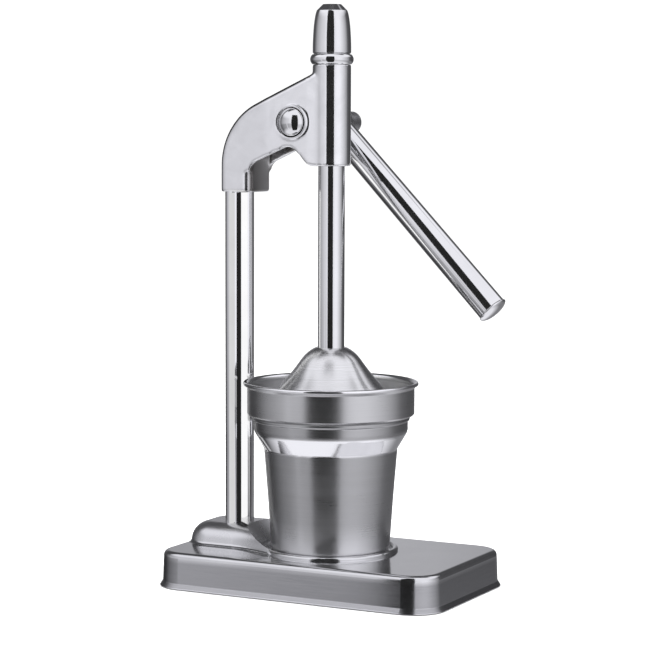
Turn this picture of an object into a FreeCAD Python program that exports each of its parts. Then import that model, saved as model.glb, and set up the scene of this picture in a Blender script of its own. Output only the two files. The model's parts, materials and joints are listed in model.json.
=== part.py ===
"""Hand-lever fruit juicer press: pressed steel base, twin columns, cast head, rack ram and cup.

Millimetres, +Z up, +X towards the front of the press, the lever on the +Y side.
The ram, bell, strainer and cup share the Z axis; the ground is z = 0.
"""
import FreeCAD, Part
import math
import os

from FreeCAD import Vector

os.makedirs("parts", exist_ok=True)

# ---- base ----
BASE_LENGTH = 225.0
BASE_WIDTH = 141.0
BASE_CORNER = 24.0
BASE_TOP = 26.5
SKIN = 1.5
LIP_BOTTOM = 0.8
LIP_TOP = 4.2
LIP_FLARE = 2.0
WALL_DRAFT = 1.0
EDGE_ROUND = 4.0

# ---- hump that carries the columns ----
HUMP_TOP = 41.6
HUMP_REAR = -109.2
HUMP_HALF_WIDTH = 28.0
HUMP_ROUND = 14.5
SCOOP_RADIUS = 49.4
SCOOP_LOW = 30.2
SCOOP_SPREAD = 1.15
SCOOP_REACH = 40.0
HUMP_ROOT = 6.0
HUMP_FOOT_ROUND = 3.5
HUMP_REAR_CORNER = 20.0
# how far the hump's flank stands out beyond its half width, at places along X
HUMP_FLARE = ((-66.0, 0.0), (-54.0, 2.2), (-38.0, 8.2), (-20.0, 15.0), (-4.0, 18.5))
RIDGE_ROUND = 1.0

# ---- ring that locates the cup ----
SEAT_RING_INNER = 44.6
SEAT_RING_OUTER = 49.2
SEAT_RING_TOP = 29.4

# ---- bottom closure ----
PLATE_LENGTH = 216.0
PLATE_WIDTH = 132.0
PLATE_CORNER = 18.0
PLATE_LOW = 3.0
PLATE_HIGH = 5.0
PAD_MARGIN = 1.5
POST_X = 88.0
POST_Y = 48.0
POST_RADIUS = 5.5
SCREW_RADIUS = 2.5
SCREW_HEAD_RADIUS = 4.8
SCREW_HEAD_LOW = 0.9
SCREW_TIP = 17.0
PAD_HOLE_RADIUS = 6.0

# ---- columns ----
COLUMN_X = -75.6
COLUMN_Y = 9.8
COLUMN_RADIUS = 5.75
COLUMN_STUD_RADIUS = 4.0
COLUMN_STUD_LOW = 10.0
COLUMN_STUD_HIGH = 312.0
BRACKET_THICK = 4.0
BRACKET_FRONT = -56.0
BRACKET_REAR = -100.0
BRACKET_HALF_WIDTH = 36.0
WASHER_THICK = 1.6
WASHER_RADIUS = 8.0
NUT_ACROSS_FLATS = 13.0
NUT_HEIGHT = 6.5

# ---- head casting ----
HEAD_HALF_WIDTH = 17.2
HEAD_BOTTOM = 285.0
HEAD_REAR = -83.2
HEAD_BLOCK_FRONT = -58.0
HEAD_BLOCK_ROUND = 6.0
HEAD_BACK_ROUND = 5.0
HEAD_ARC_RADIUS = 49.4
HEAD_ARC_START = 304.5
HEAD_SHOULDER_X = -57.4
HEAD_SHOULDER_Z = 347.9
HEAD_TOP_SLOPE = 0.484
CHEEK_TAPER_X = -45.0
CHEEK_FRONT_HALF_WIDTH = 12.4
CHEEK_THICK = 4.4
ROOF_DROP = 5.0
ARCH_START_Z = 305.3
ARCH_APEX_X = -29.5
ARCH_APEX_Z = 318.0
ARCH_CORNER_DROP = 5.0
ARCH_CORNER_RUN = 5.0
ARCH_CORNER_RISE = 2.3
TUBE_FOOT_X = -9.0
# side view of the cheek's lower edge, between the tube's foot and the arch
CHEEK_DROP = ((-13.0, 305.6), (-17.0, 309.6), (-21.5, 314.8), (-25.5, 317.4))
HEAD_ARC_MIDDLE = 149.0
SOCKET_TOP = 301.0
TUBE_RADIUS = 13.8
TUBE_BOTTOM = 304.4
TUBE_TOP = 377.0
SPIGOT_RADIUS = 11.6
SPIGOT_LOW = 371.0
COLLAR_RADIUS = 15.6
COLLAR_TOP = 384.0

# ---- ram and rack ----
RAM_RADIUS = 9.6
RAM_CLEARANCE = 0.05
RAM_BOTTOM = 174.0
RAM_TOP = 404.0
MODULE = 1.25
TEETH = 28
PRESSURE_ANGLE = 20.0
BACKLASH = 0.16
ROOT_FACTOR = 1.25
RACK_FLAT = -8.6
RACK_HALF_WIDTH = 4.27
RACK_LOW = 278.0
RACK_HIGH = 349.0
RACK_END_MARGIN = 1.7

# ---- pinion, shaft and lever ----
SHAFT_Z = 335.8
SHAFT_RADIUS = 5.0
SHAFT_NEAR = -17.6
SHAFT_FAR = 76.0
BUSH_RADIUS = 7.5
BUSH_CLEARANCE = 0.05
BOSS_RADIUS = 11.9
BOSS_FAR = 17.4
BOSS_NEAR = 16.4
NUT_RECESS_RADIUS = 10.7
NUT_RECESS_FLOOR = 13.6
PINION_HALF_WIDTH = 4.0
PINION_HUB_RADIUS = 8.0
PINION_HUB_HALF_WIDTH = 10.5
HUB_POCKET_RADIUS = 8.8
HUB_POCKET_HALF_WIDTH = 10.8
KEY_SIDE = 3.0
KEY_HALF_LENGTH = 8.0
THRUST_GAP = 0.05
THRUST_THICK = 1.2
THRUST_RADIUS = 9.5
DOME_FLANGE_RADIUS = 10.0
DOME_FLANGE_THICK = 1.5
DOME_RADIUS = 9.5
DOME_HEIGHT = 4.6
HUB_NEAR = 42.0
HUB_FAR = 62.0
HUB_RADIUS = 11.0
SPACER_RADIUS = 8.0
LEVER_DROP = 46.2
LEVER_LENGTH = 188.5
LEVER_ROOT_RADIUS = 10.0
LEVER_END_RADIUS = 10.8
LEVER_WALL = 1.8
STUB_RADIUS = 8.0
STUB_LENGTH = 34.0
PLUG_THICK = 3.0
PLUG_DEPTH = 12.0
PLUG_ROUND = 1.4
END_NUT_RADIUS = 8.2
END_NUT_FAR = 82.5
HUB_PIN_RADIUS = 2.0

# ---- cap ----
CAP_LOW = 384.2
CAP_RADIUS = 13.8
CAP_TOP = 419.5
CAP_FLAT_RADIUS = 6.6
CAP_CHAMFER = 1.0
# radius and height up the bullet-shaped cap
CAP_SIDE = ((13.75, 392.0), (13.45, 398.5), (13.0, 404.5), (12.5, 408.6), (11.9, 412.0),
            (11.0, 415.1))

# ---- press bell ----
BELL_RIM_RADIUS = 47.5
BELL_RIM_Z = 134.0
BELL_WALL = 2.2
BELL_CROWN_LOW = 168.5
BELL_SCREW_RADIUS = 4.0
BELL_SCREW_HEAD_RADIUS = 7.5
BELL_SCREW_HEAD_LOW = 164.0
BELL_SCREW_TIP = 192.0
BELL_CROWN_RADIUS = 11.0
BELL_CAVITY_RADIUS = 12.0
# radius and height down the bell's flank
BELL_FLANK = ((14.2, 172.3), (19.3, 168.0), (23.6, 162.4), (29.1, 155.2), (35.8, 147.5),
              (42.0, 140.4))

# ---- strainer bowl ----
SHEET = 1.0
LIP_RADIUS = 63.4
LIP_Z = 149.4
LIP_ROLL = 1.5
BAND_RADIUS = 60.5
BAND_LOW = 125.2
NEST_RADIUS = 54.2
GUTTER_Z = 120.5
GUTTER_INNER = 47.5
DOME_TOP_Z = 159.0
PERFORATION_RADIUS = 1.6
PERFORATIONS_PER_RING = 28
PERFORATION_RING_RADII = (25.0, 31.5, 38.0)
GUTTER_HOLE_RING = 50.5
# radius and height down the top and the underside of the domed centre
DOME_SIDE = ((10.0, 158.6), (17.0, 154.8), (24.5, 146.6), (32.0, 138.0), (39.0, 130.0),
             (44.5, 123.6))
DOME_UNDERSIDE = ((9.4, 157.6), (16.2, 154.0), (23.7, 145.9), (31.2, 137.3), (38.2, 129.3),
                  (43.7, 122.9))

# ---- cup ----
CUP_BOTTOM = 26.6
CUP_WALL = 1.0
CUP_BEAD_RADIUS = 57.2
CUP_BEAD_LOW = 121.0
CUP_BEAD_TOP = 125.0
CUP_NECK_RADIUS = 55.8
CUP_MOUTH_RADIUS = 54.8
CUP_FOOT = ((41.0, 26.6), (42.4, 27.4))
# radius and height up the body to the fold, and up the conical shoulder above it
CUP_BODY = ((43.0, 29.4), (44.1, 45.0), (45.4, 64.0), (47.4, 89.0), (48.3, 100.4))
CUP_SHOULDER = ((48.5, 101.2), (54.4, 111.2))
CUP_SHOULDER_END = ((54.9, 112.2), (55.6, 114.2), (55.8, 116.4))
# how much higher the inner cone stands than the outer one, so the wall keeps its thickness
CUP_CONE_LIFT = 0.5

# ---- values that follow from the ones above ----
PITCH_RADIUS = MODULE * TEETH / 2.0
PITCH_LINE = RACK_FLAT + MODULE
SHAFT_X = PITCH_LINE - PITCH_RADIUS
PINION_OUTER = PITCH_RADIUS + MODULE
PINION_ROOT = PITCH_RADIUS - ROOT_FACTOR * MODULE
BRACKET_TOP = BASE_TOP - SKIN
BRACKET_LOW = BRACKET_TOP - BRACKET_THICK
UP = Vector(0, 0, 1)
ACROSS = Vector(0, 1, 0)


def save(shape, node):
    """Write one node as a STEP file."""
    shape.exportStep("parts/" + node + ".step")


def cylinder_z(radius, low, high, x=0.0, y=0.0):
    return Part.makeCylinder(radius, high - low, Vector(x, y, low), UP)


def cylinder_y(radius, near, far, x=SHAFT_X, z=SHAFT_Z):
    return Part.makeCylinder(radius, far - near, Vector(x, near, z), ACROSS)


def box(x0, x1, y0, y1, z0, z1):
    return Part.makeBox(x1 - x0, y1 - y0, z1 - z0, Vector(x0, y0, z0))


def fused(shapes):
    whole = shapes[0]
    for shape in shapes[1:]:
        whole = whole.fuse(shape)
    return whole.removeSplitter()


def rounded_outline(length, width, radius, z):
    """Closed rounded-rectangle wire, centred on the Z axis."""
    half_x = length / 2.0
    half_y = width / 2.0
    centre_x = half_x - radius
    centre_y = half_y - radius
    edges = []
    for turn in range(4):
        sign_x = (1, -1, -1, 1)[turn]
        sign_y = (1, 1, -1, -1)[turn]
        centre = Vector(sign_x * centre_x, sign_y * centre_y, z)
        start = 90.0 * turn
        arc = Part.makeCircle(radius, centre, UP, start, start + 90.0)
        edges.append(arc)
    ordered = []
    for turn in range(4):
        arc = edges[turn]
        following = edges[(turn + 1) % 4]
        ordered.append(arc)
        end = arc.valueAt(arc.LastParameter)
        begin = following.valueAt(following.FirstParameter)
        ordered.append(Part.makeLine(end, begin))
    return Part.Wire(ordered)


def rounded_slab(length, width, radius, low, high):
    face = Part.Face(rounded_outline(length, width, radius, low))
    return face.extrude(Vector(0, 0, high - low))


def tapered_slab(inset_low, inset_high, low, high):
    """Slab whose outline is the base outline pulled in by the two insets."""
    wires = []
    for inset, z in ((inset_low, low), (inset_high, high)):
        wires.append(rounded_outline(BASE_LENGTH - 2 * inset, BASE_WIDTH - 2 * inset,
                                     BASE_CORNER - inset, z))
    return Part.makeLoft(wires, True, True)


def edges_at(shape, test):
    """Edges whose every sampled point passes the test."""
    found = []
    for edge in shape.Edges:
        points = edge.discretize(5)
        if all(test(point) for point in points):
            found.append(edge)
    return found


def spline(points):
    curve = Part.BSplineCurve()
    curve.interpolate([Vector(*point) for point in points])
    return curve.toShape()


def turned(edges):
    """Solid of revolution about Z from a closed list of edges in the XZ plane."""
    face = Part.Face(Part.Wire(edges))
    solid = face.revolve(Vector(0, 0, 0), UP, 360)
    return Part.makeSolid(Part.makeShell(solid.Faces)) if solid.ShapeType != "Solid" else solid


def segments(points):
    """Straight edges through (radius, z) points."""
    return [Part.makeLine(Vector(a[0], 0, a[1]), Vector(b[0], 0, b[1]))
            for a, b in zip(points[:-1], points[1:])]


def offset_profile(points, distance):
    """Points of a (radius, z) path moved sideways, to the left of its direction."""
    moved = []
    last = len(points) - 1
    for index, point in enumerate(points):
        before = points[max(index - 1, 0)]
        after = points[min(index + 1, last)]
        run_r = after[0] - before[0]
        run_z = after[1] - before[1]
        length = math.hypot(run_r, run_z)
        moved.append((point[0] - run_z / length * distance, point[1] + run_r / length * distance))
    return moved


# ---- base shell ----
def hump_outline(shrink, z):
    """Plan of the hump: round at the rear, widening towards the cup seat."""
    rear = HUMP_REAR + shrink
    half = HUMP_HALF_WIDTH - shrink
    corner = HUMP_REAR_CORNER
    flare = [(x, half + spread) for x, spread in HUMP_FLARE]
    neck = flare[0][0]
    front, front_half = flare[-1]
    edges = []
    far_flare = spline([(x, y, z) for x, y in flare])
    near_flare = spline([(x, -y, z) for x, y in flare])
    diagonal = corner * math.sqrt(0.5)
    edges.append(far_flare)
    edges.append(Part.makeLine(Vector(neck, half, z), Vector(rear + corner, half, z)))
    edges.append(Part.Arc(Vector(rear + corner, half, z),
                          Vector(rear + corner - diagonal, half - corner + diagonal, z),
                          Vector(rear, half - corner, z)).toShape())
    edges.append(Part.makeLine(Vector(rear, half - corner, z), Vector(rear, corner - half, z)))
    edges.append(Part.Arc(Vector(rear, corner - half, z),
                          Vector(rear + corner - diagonal, corner - half - diagonal, z),
                          Vector(rear + corner, -half, z)).toShape())
    edges.append(Part.makeLine(Vector(rear + corner, -half, z), Vector(neck, -half, z)))
    edges.append(near_flare)
    edges.append(Part.makeLine(Vector(front, -front_half, z), Vector(front, front_half, z)))
    return Part.Wire(Part.__sortEdges__(edges))


def hump(shrink):
    """Mound with rounded shoulders and a conical scoop facing the cup."""
    low = BASE_TOP - HUMP_ROOT
    high = HUMP_TOP - shrink
    mound = Part.Face(hump_outline(shrink, low)).extrude(Vector(0, 0, high - low))
    front = HUMP_FLARE[-1][0]
    crest = edges_at(mound, lambda p: p.z > high - 0.01 and p.x < front - 0.5)
    mound = mound.makeFillet(HUMP_ROUND - shrink, crest)
    scoop_low = low - 1.0
    slope_low = SCOOP_RADIUS + shrink * math.sqrt(2.0)
    slope_high = slope_low + SCOOP_REACH * SCOOP_SPREAD
    scoop = Part.makeCone(slope_low, slope_high, SCOOP_REACH, Vector(0, 0, SCOOP_LOW), UP)
    well = cylinder_z(slope_low, scoop_low, SCOOP_LOW)
    return mound.cut(scoop.fuse(well))


def base_body(shrink):
    """Outer form of the base, or the same form pulled in by the sheet thickness."""
    top = BASE_TOP - shrink
    inset = LIP_FLARE + shrink
    wall = tapered_slab(inset, inset + WALL_DRAFT, LIP_BOTTOM, top)
    rim = edges_at(wall, lambda p: p.z > top - 0.01)
    wall = wall.makeFillet(EDGE_ROUND - shrink * 0.5, rim)
    flare = tapered_slab(shrink, inset, LIP_BOTTOM, LIP_TOP)
    return wall.fuse(flare)


def seat_ring():
    """Raised rolled ring round the foot of the cup."""
    centre = (SEAT_RING_INNER + SEAT_RING_OUTER) / 2.0
    half = (SEAT_RING_OUTER - SEAT_RING_INNER) / 2.0
    shoulder = SEAT_RING_TOP - half * 0.8
    low = BASE_TOP - SKIN / 2.0
    outline = [
        Part.makeLine(Vector(centre - half, 0, low), Vector(centre + half, 0, low)),
        Part.makeLine(Vector(centre + half, 0, low), Vector(centre + half, 0, shoulder)),
        Part.Arc(Vector(centre + half, 0, shoulder), Vector(centre, 0, SEAT_RING_TOP),
                 Vector(centre - half, 0, shoulder)).toShape(),
        Part.makeLine(Vector(centre - half, 0, shoulder), Vector(centre - half, 0, low)),
    ]
    return turned(outline)


def hump_foot(body):
    """Edges where the hump rises out of the flat top."""
    rim_x = BASE_LENGTH / 2.0 - LIP_FLARE - WALL_DRAFT - EDGE_ROUND
    foot = []
    for edge in body.Edges:
        middle = edge.valueAt((edge.FirstParameter + edge.LastParameter) / 2.0)
        reach = edge.BoundBox
        level = abs(reach.ZMin - BASE_TOP) < 0.02 and abs(reach.ZMax - BASE_TOP) < 0.02
        if level and -rim_x + 0.3 < middle.x < 0 and abs(middle.y) < 1.5 * HUMP_HALF_WIDTH:
            foot.append(edge)
    return foot


def make_base_shell():
    body = fused([base_body(0.0), hump(0.0)])
    body = body.makeFillet(HUMP_FOOT_ROUND, hump_foot(body))
    hollow = fused([base_body(SKIN), hump(SKIN)])
    opening = rounded_slab(BASE_LENGTH - 2 * SKIN, BASE_WIDTH - 2 * SKIN,
                           BASE_CORNER - SKIN, LIP_BOTTOM - 1.0, LIP_BOTTOM)
    shell = body.cut(hollow.fuse(opening))
    shell = shell.fuse(seat_ring())
    for side in (-1, 1):
        shell = shell.cut(cylinder_z(COLUMN_RADIUS, BASE_TOP, HUMP_TOP + 5.0,
                                     COLUMN_X, side * COLUMN_Y))
    return shell.removeSplitter()


def corner_positions():
    return [(sx * POST_X, sy * POST_Y) for sx in (-1, 1) for sy in (-1, 1)]


def make_base_plate():
    plate = rounded_slab(PLATE_LENGTH, PLATE_WIDTH, PLATE_CORNER, PLATE_LOW, PLATE_HIGH)
    for x, y in corner_positions():
        plate = plate.cut(cylinder_z(SCREW_RADIUS, PLATE_LOW - 1, PLATE_HIGH + 1, x, y))
    return plate


def make_anti_slip_pad():
    pad = rounded_slab(PLATE_LENGTH - 2 * PAD_MARGIN, PLATE_WIDTH - 2 * PAD_MARGIN,
                       PLATE_CORNER - PAD_MARGIN, 0.0, PLATE_LOW)
    for x, y in corner_positions():
        pad = pad.cut(cylinder_z(PAD_HOLE_RADIUS, -1.0, PLATE_LOW + 1, x, y))
    return pad


def make_plate_posts():
    posts = []
    for x, y in corner_positions():
        post = cylinder_z(POST_RADIUS, PLATE_HIGH, BASE_TOP - SKIN, x, y)
        posts.append(post.cut(cylinder_z(SCREW_RADIUS, PLATE_HIGH - 1, SCREW_TIP, x, y)))
    return Part.makeCompound(posts)


def make_plate_screws():
    screws = []
    for x, y in corner_positions():
        head = cylinder_z(SCREW_HEAD_RADIUS, SCREW_HEAD_LOW, PLATE_LOW, x, y)
        head = head.makeFillet(0.6, edges_at(head, lambda p: p.z < SCREW_HEAD_LOW + 0.01))
        slot = box(x - SCREW_HEAD_RADIUS, x + SCREW_HEAD_RADIUS, y - 0.5, y + 0.5,
                   SCREW_HEAD_LOW - 1, SCREW_HEAD_LOW + 0.8)
        shank = cylinder_z(SCREW_RADIUS, PLATE_LOW, SCREW_TIP, x, y)
        screws.append(head.cut(slot).fuse(shank).removeSplitter())
    return Part.makeCompound(screws)


# ---- columns and their fixings ----
def make_column(side):
    y = side * COLUMN_Y
    bar = cylinder_z(COLUMN_RADIUS, BRACKET_TOP, SOCKET_TOP, COLUMN_X, y)
    stud = cylinder_z(COLUMN_STUD_RADIUS, COLUMN_STUD_LOW, COLUMN_STUD_HIGH, COLUMN_X, y)
    chamfered = stud.makeChamfer(0.8, stud.Edges[0:1] + stud.Edges[2:3])
    return bar.fuse(chamfered).removeSplitter()


def make_column_bracket():
    bracket = box(BRACKET_REAR, BRACKET_FRONT, -BRACKET_HALF_WIDTH, BRACKET_HALF_WIDTH,
                  BRACKET_LOW, BRACKET_TOP)
    corners = edges_at(bracket, lambda p: abs(abs(p.y) - BRACKET_HALF_WIDTH) < 0.01
                       and min(abs(p.x - BRACKET_REAR), abs(p.x - BRACKET_FRONT)) < 0.01)
    bracket = bracket.makeFillet(5.0, corners)
    for side in (-1, 1):
        bracket = bracket.cut(cylinder_z(COLUMN_STUD_RADIUS, BRACKET_LOW - 1, BRACKET_TOP + 1,
                                         COLUMN_X, side * COLUMN_Y))
    return bracket


def make_column_washers():
    rings = []
    for side in (-1, 1):
        y = side * COLUMN_Y
        ring = cylinder_z(WASHER_RADIUS, BRACKET_LOW - WASHER_THICK, BRACKET_LOW, COLUMN_X, y)
        rings.append(ring.cut(cylinder_z(COLUMN_STUD_RADIUS, BRACKET_LOW - WASHER_THICK - 1,
                                         BRACKET_LOW + 1, COLUMN_X, y)))
    return Part.makeCompound(rings)


def hexagon_prism(across_flats, low, high, x, y):
    radius = across_flats / math.sqrt(3.0)
    corners = [Vector(x + radius * math.cos(math.radians(60 * i)),
                      y + radius * math.sin(math.radians(60 * i)), low) for i in range(7)]
    return Part.Face(Part.makePolygon(corners)).extrude(Vector(0, 0, high - low))


def make_column_nuts():
    high = BRACKET_LOW - WASHER_THICK
    low = high - NUT_HEIGHT
    nuts = []
    for side in (-1, 1):
        y = side * COLUMN_Y
        prism = hexagon_prism(NUT_ACROSS_FLATS, low, high, COLUMN_X, y)
        spread = NUT_ACROSS_FLATS / 2.0 - 0.2
        bevel = Part.makeCone(spread, spread + NUT_HEIGHT, NUT_HEIGHT, Vector(COLUMN_X, y, low), UP)
        nut = prism.common(bevel)
        nuts.append(nut.cut(cylinder_z(COLUMN_STUD_RADIUS, low - 1, high + 1, COLUMN_X, y)))
    return Part.makeCompound(nuts)


# ---- head ----
def head_top_z(x):
    return HEAD_SHOULDER_Z + (x - HEAD_SHOULDER_X) * HEAD_TOP_SLOPE


def head_side_profile():
    """Side view of the casting: rear socket block, sloping web, arch underneath."""
    centre_x = HEAD_REAR + HEAD_ARC_RADIUS
    middle = math.radians(HEAD_ARC_MIDDLE)
    arc_middle = Vector(centre_x + HEAD_ARC_RADIUS * math.cos(middle), 0,
                        HEAD_ARC_START + HEAD_ARC_RADIUS * math.sin(middle))
    rear_low = Vector(HEAD_REAR, 0, HEAD_BOTTOM)
    rear_high = Vector(HEAD_REAR, 0, HEAD_ARC_START)
    shoulder = Vector(HEAD_SHOULDER_X, 0, HEAD_SHOULDER_Z)
    front_high = Vector(0, 0, head_top_z(0.0))
    front_low = Vector(0, 0, TUBE_BOTTOM)
    tube_foot = Vector(TUBE_FOOT_X, 0, TUBE_BOTTOM)
    apex = Vector(ARCH_APEX_X, 0, ARCH_APEX_Z)
    arch_rear = Vector(HEAD_BLOCK_FRONT + ARCH_CORNER_RUN, 0, ARCH_START_Z + ARCH_CORNER_RISE)
    block_high = Vector(HEAD_BLOCK_FRONT, 0, ARCH_START_Z - ARCH_CORNER_DROP)
    corner_middle = Vector(HEAD_BLOCK_FRONT + 1.5, 0, ARCH_START_Z - 0.6)
    block_low = Vector(HEAD_BLOCK_FRONT, 0, HEAD_BOTTOM)
    drop = spline([(TUBE_FOOT_X, 0, TUBE_BOTTOM), *[(x, 0, z) for x, z in CHEEK_DROP],
                   (ARCH_APEX_X, 0, ARCH_APEX_Z)])
    knee = Part.Arc(arch_rear, corner_middle, block_high)
    edges = [
        Part.makeLine(rear_low, rear_high),
        Part.Arc(rear_high, arc_middle, shoulder).toShape(),
        Part.makeLine(shoulder, front_high),
        Part.makeLine(front_high, front_low),
        Part.makeLine(front_low, tube_foot),
        drop,
        Part.makeLine(apex, arch_rear),
        knee.toShape(),
        Part.makeLine(block_high, block_low),
        Part.makeLine(block_low, rear_low),
    ]
    return Part.Wire(edges)


def head_plan(inset):
    """Plan view of the casting: straight cheeks that draw in towards the guide tube."""
    wide = HEAD_HALF_WIDTH - inset
    narrow = CHEEK_FRONT_HALF_WIDTH - inset
    outline = [
        Vector(HEAD_REAR, -wide, HEAD_BOTTOM - 1),
        Vector(CHEEK_TAPER_X, -wide, HEAD_BOTTOM - 1),
        Vector(0, -narrow, HEAD_BOTTOM - 1),
        Vector(0, narrow, HEAD_BOTTOM - 1),
        Vector(CHEEK_TAPER_X, wide, HEAD_BOTTOM - 1),
        Vector(HEAD_REAR, wide, HEAD_BOTTOM - 1),
        Vector(HEAD_REAR, -wide, HEAD_BOTTOM - 1),
    ]
    return Part.Face(Part.makePolygon(outline)).extrude(Vector(0, 0, TUBE_TOP - HEAD_BOTTOM + 2))


def head_cavity():
    """Hollow between the cheeks that houses the pinion, open downwards."""
    rear = HEAD_BLOCK_FRONT
    outline = [
        Vector(rear, -HEAD_HALF_WIDTH, HEAD_BOTTOM - 1),
        Vector(rear, -HEAD_HALF_WIDTH, head_top_z(rear) - ROOF_DROP - 4.0),
        Vector(rear + 5.0, -HEAD_HALF_WIDTH, head_top_z(rear + 5.0) - ROOF_DROP),
        Vector(0, -HEAD_HALF_WIDTH, head_top_z(0.0) - ROOF_DROP),
        Vector(0, -HEAD_HALF_WIDTH, HEAD_BOTTOM - 1),
        Vector(rear, -HEAD_HALF_WIDTH, HEAD_BOTTOM - 1),
    ]
    side = Part.Face(Part.makePolygon(outline)).extrude(Vector(0, 2 * HEAD_HALF_WIDTH, 0))
    return side.common(head_plan(CHEEK_THICK))


def cheek_half_width(x):
    taper = max(x - CHEEK_TAPER_X, 0.0) / -CHEEK_TAPER_X
    return HEAD_HALF_WIDTH - taper * (HEAD_HALF_WIDTH - CHEEK_FRONT_HALF_WIDTH)


def on_head_back(point):
    """True along the rear, the curved back and the sloping top edges of either cheek."""
    if abs(abs(point.y) - cheek_half_width(point.x)) > 0.02:
        return False
    arc_x = point.x - HEAD_REAR - HEAD_ARC_RADIUS
    arc_z = point.z - HEAD_ARC_START
    on_rear = abs(point.x - HEAD_REAR) < 0.01
    on_arc = arc_z > -0.1 and abs(math.hypot(arc_x, arc_z) - HEAD_ARC_RADIUS) < 0.05
    on_top = abs(point.z - head_top_z(point.x)) < 0.02
    return on_rear or on_arc or on_top


def block_corners():
    """Waste outside the rounded front corners of the socket block."""
    reach = HEAD_BLOCK_ROUND
    low = HEAD_BOTTOM - 1.0
    high = ARCH_START_Z - ARCH_CORNER_DROP
    waste = []
    for side in (-1, 1):
        centre_y = side * (HEAD_HALF_WIDTH - reach)
        edge_y = side * (HEAD_HALF_WIDTH + 1.0)
        corner = box(HEAD_BLOCK_FRONT - reach, HEAD_BLOCK_FRONT + 1.0,
                     min(centre_y, edge_y), max(centre_y, edge_y), low, high)
        waste.append(corner.cut(cylinder_z(reach, low, high, HEAD_BLOCK_FRONT - reach, centre_y)))
    return Part.makeCompound(waste)


def make_head_casting():
    side = Part.Face(head_side_profile())
    side.translate(Vector(0, -HEAD_HALF_WIDTH - 1.0, 0))
    web = side.extrude(Vector(0, 2 * HEAD_HALF_WIDTH + 2.0, 0)).common(head_plan(0.0))
    web = web.makeFillet(HEAD_BACK_ROUND, edges_at(web, on_head_back))
    web = web.cut(block_corners())
    boss = cylinder_y(BOSS_RADIUS, -BOSS_NEAR, BOSS_FAR)
    hollow = head_cavity()
    web = web.fuse(boss).cut(hollow)
    tube = cylinder_z(TUBE_RADIUS, TUBE_BOTTOM, TUBE_TOP)
    head = web.fuse(tube)
    head = head.cut(cylinder_z(RAM_RADIUS + RAM_CLEARANCE, TUBE_BOTTOM - 5, TUBE_TOP + 5))
    head = head.cut(cylinder_z(SPIGOT_RADIUS, SPIGOT_LOW, TUBE_TOP + 5))
    window = PINION_OUTER + 0.9
    head = head.cut(cylinder_y(window, -PINION_HALF_WIDTH - 0.8, PINION_HALF_WIDTH + 0.8))
    head = head.cut(cylinder_y(HUB_POCKET_RADIUS, -HUB_POCKET_HALF_WIDTH, HUB_POCKET_HALF_WIDTH))
    head = head.cut(cylinder_y(BUSH_RADIUS, -BOSS_NEAR - 1, BOSS_FAR + 1))
    head = head.cut(cylinder_y(NUT_RECESS_RADIUS, -BOSS_NEAR - 1, -NUT_RECESS_FLOOR))
    for sign in (-1, 1):
        y = sign * COLUMN_Y
        head = head.cut(cylinder_z(COLUMN_RADIUS, HEAD_BOTTOM - 2, SOCKET_TOP, COLUMN_X, y))
        head = head.cut(cylinder_z(COLUMN_STUD_RADIUS, SOCKET_TOP - 1, COLUMN_STUD_HIGH,
                                   COLUMN_X, y))
    return head.removeSplitter()


def make_head_collar():
    """Rolled guide collar pressed into the mouth of the head tube."""
    bore = RAM_RADIUS + RAM_CLEARANCE
    waist = COLLAR_RADIUS - 1.6
    middle = (TUBE_TOP + COLLAR_TOP) / 2.0
    outline = [
        *segments([(bore, SPIGOT_LOW), (SPIGOT_RADIUS, SPIGOT_LOW), (SPIGOT_RADIUS, TUBE_TOP),
                   (waist, TUBE_TOP)]),
        Part.Arc(Vector(waist, 0, TUBE_TOP), Vector(COLLAR_RADIUS, 0, middle),
                 Vector(waist, 0, COLLAR_TOP)).toShape(),
        *segments([(waist, COLLAR_TOP), (bore, COLLAR_TOP), (bore, SPIGOT_LOW)]),
    ]
    return turned(outline)


def make_shaft_bushes():
    bushes = []
    inner = HUB_POCKET_HALF_WIDTH
    for near, far in ((-NUT_RECESS_FLOOR, -inner), (inner, BOSS_FAR)):
        sleeve = cylinder_y(BUSH_RADIUS, near, far)
        bushes.append(sleeve.cut(cylinder_y(SHAFT_RADIUS + BUSH_CLEARANCE, near - 1, far + 1)))
    return Part.makeCompound(bushes)


# ---- pinion and shaft ----
def involute_point(base_radius, roll):
    angle = roll - math.atan(roll)
    radius = base_radius * math.sqrt(1.0 + roll * roll)
    return radius, angle


def tooth_outline():
    """One gear tooth on the +X side, as (radius, angle) along the upper flank."""
    pressure = math.radians(PRESSURE_ANGLE)
    base_radius = PITCH_RADIUS * math.cos(pressure)
    involute = math.tan(pressure) - pressure
    half_tooth = (math.pi * MODULE / 2.0 - BACKLASH) / (2.0 * PITCH_RADIUS)
    first = max(base_radius, PINION_ROOT)
    flank = []
    steps = 6
    roll_start = math.sqrt(max((first / base_radius) ** 2 - 1.0, 0.0))
    roll_end = math.sqrt((PINION_OUTER / base_radius) ** 2 - 1.0)
    for index in range(steps):
        roll = roll_start + (roll_end - roll_start) * index / (steps - 1.0)
        radius, angle = involute_point(base_radius, roll)
        flank.append((radius, half_tooth + involute - angle))
    return flank


def polar(radius, angle, y):
    return Vector(SHAFT_X + radius * math.cos(angle), y, SHAFT_Z + radius * math.sin(angle))


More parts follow.
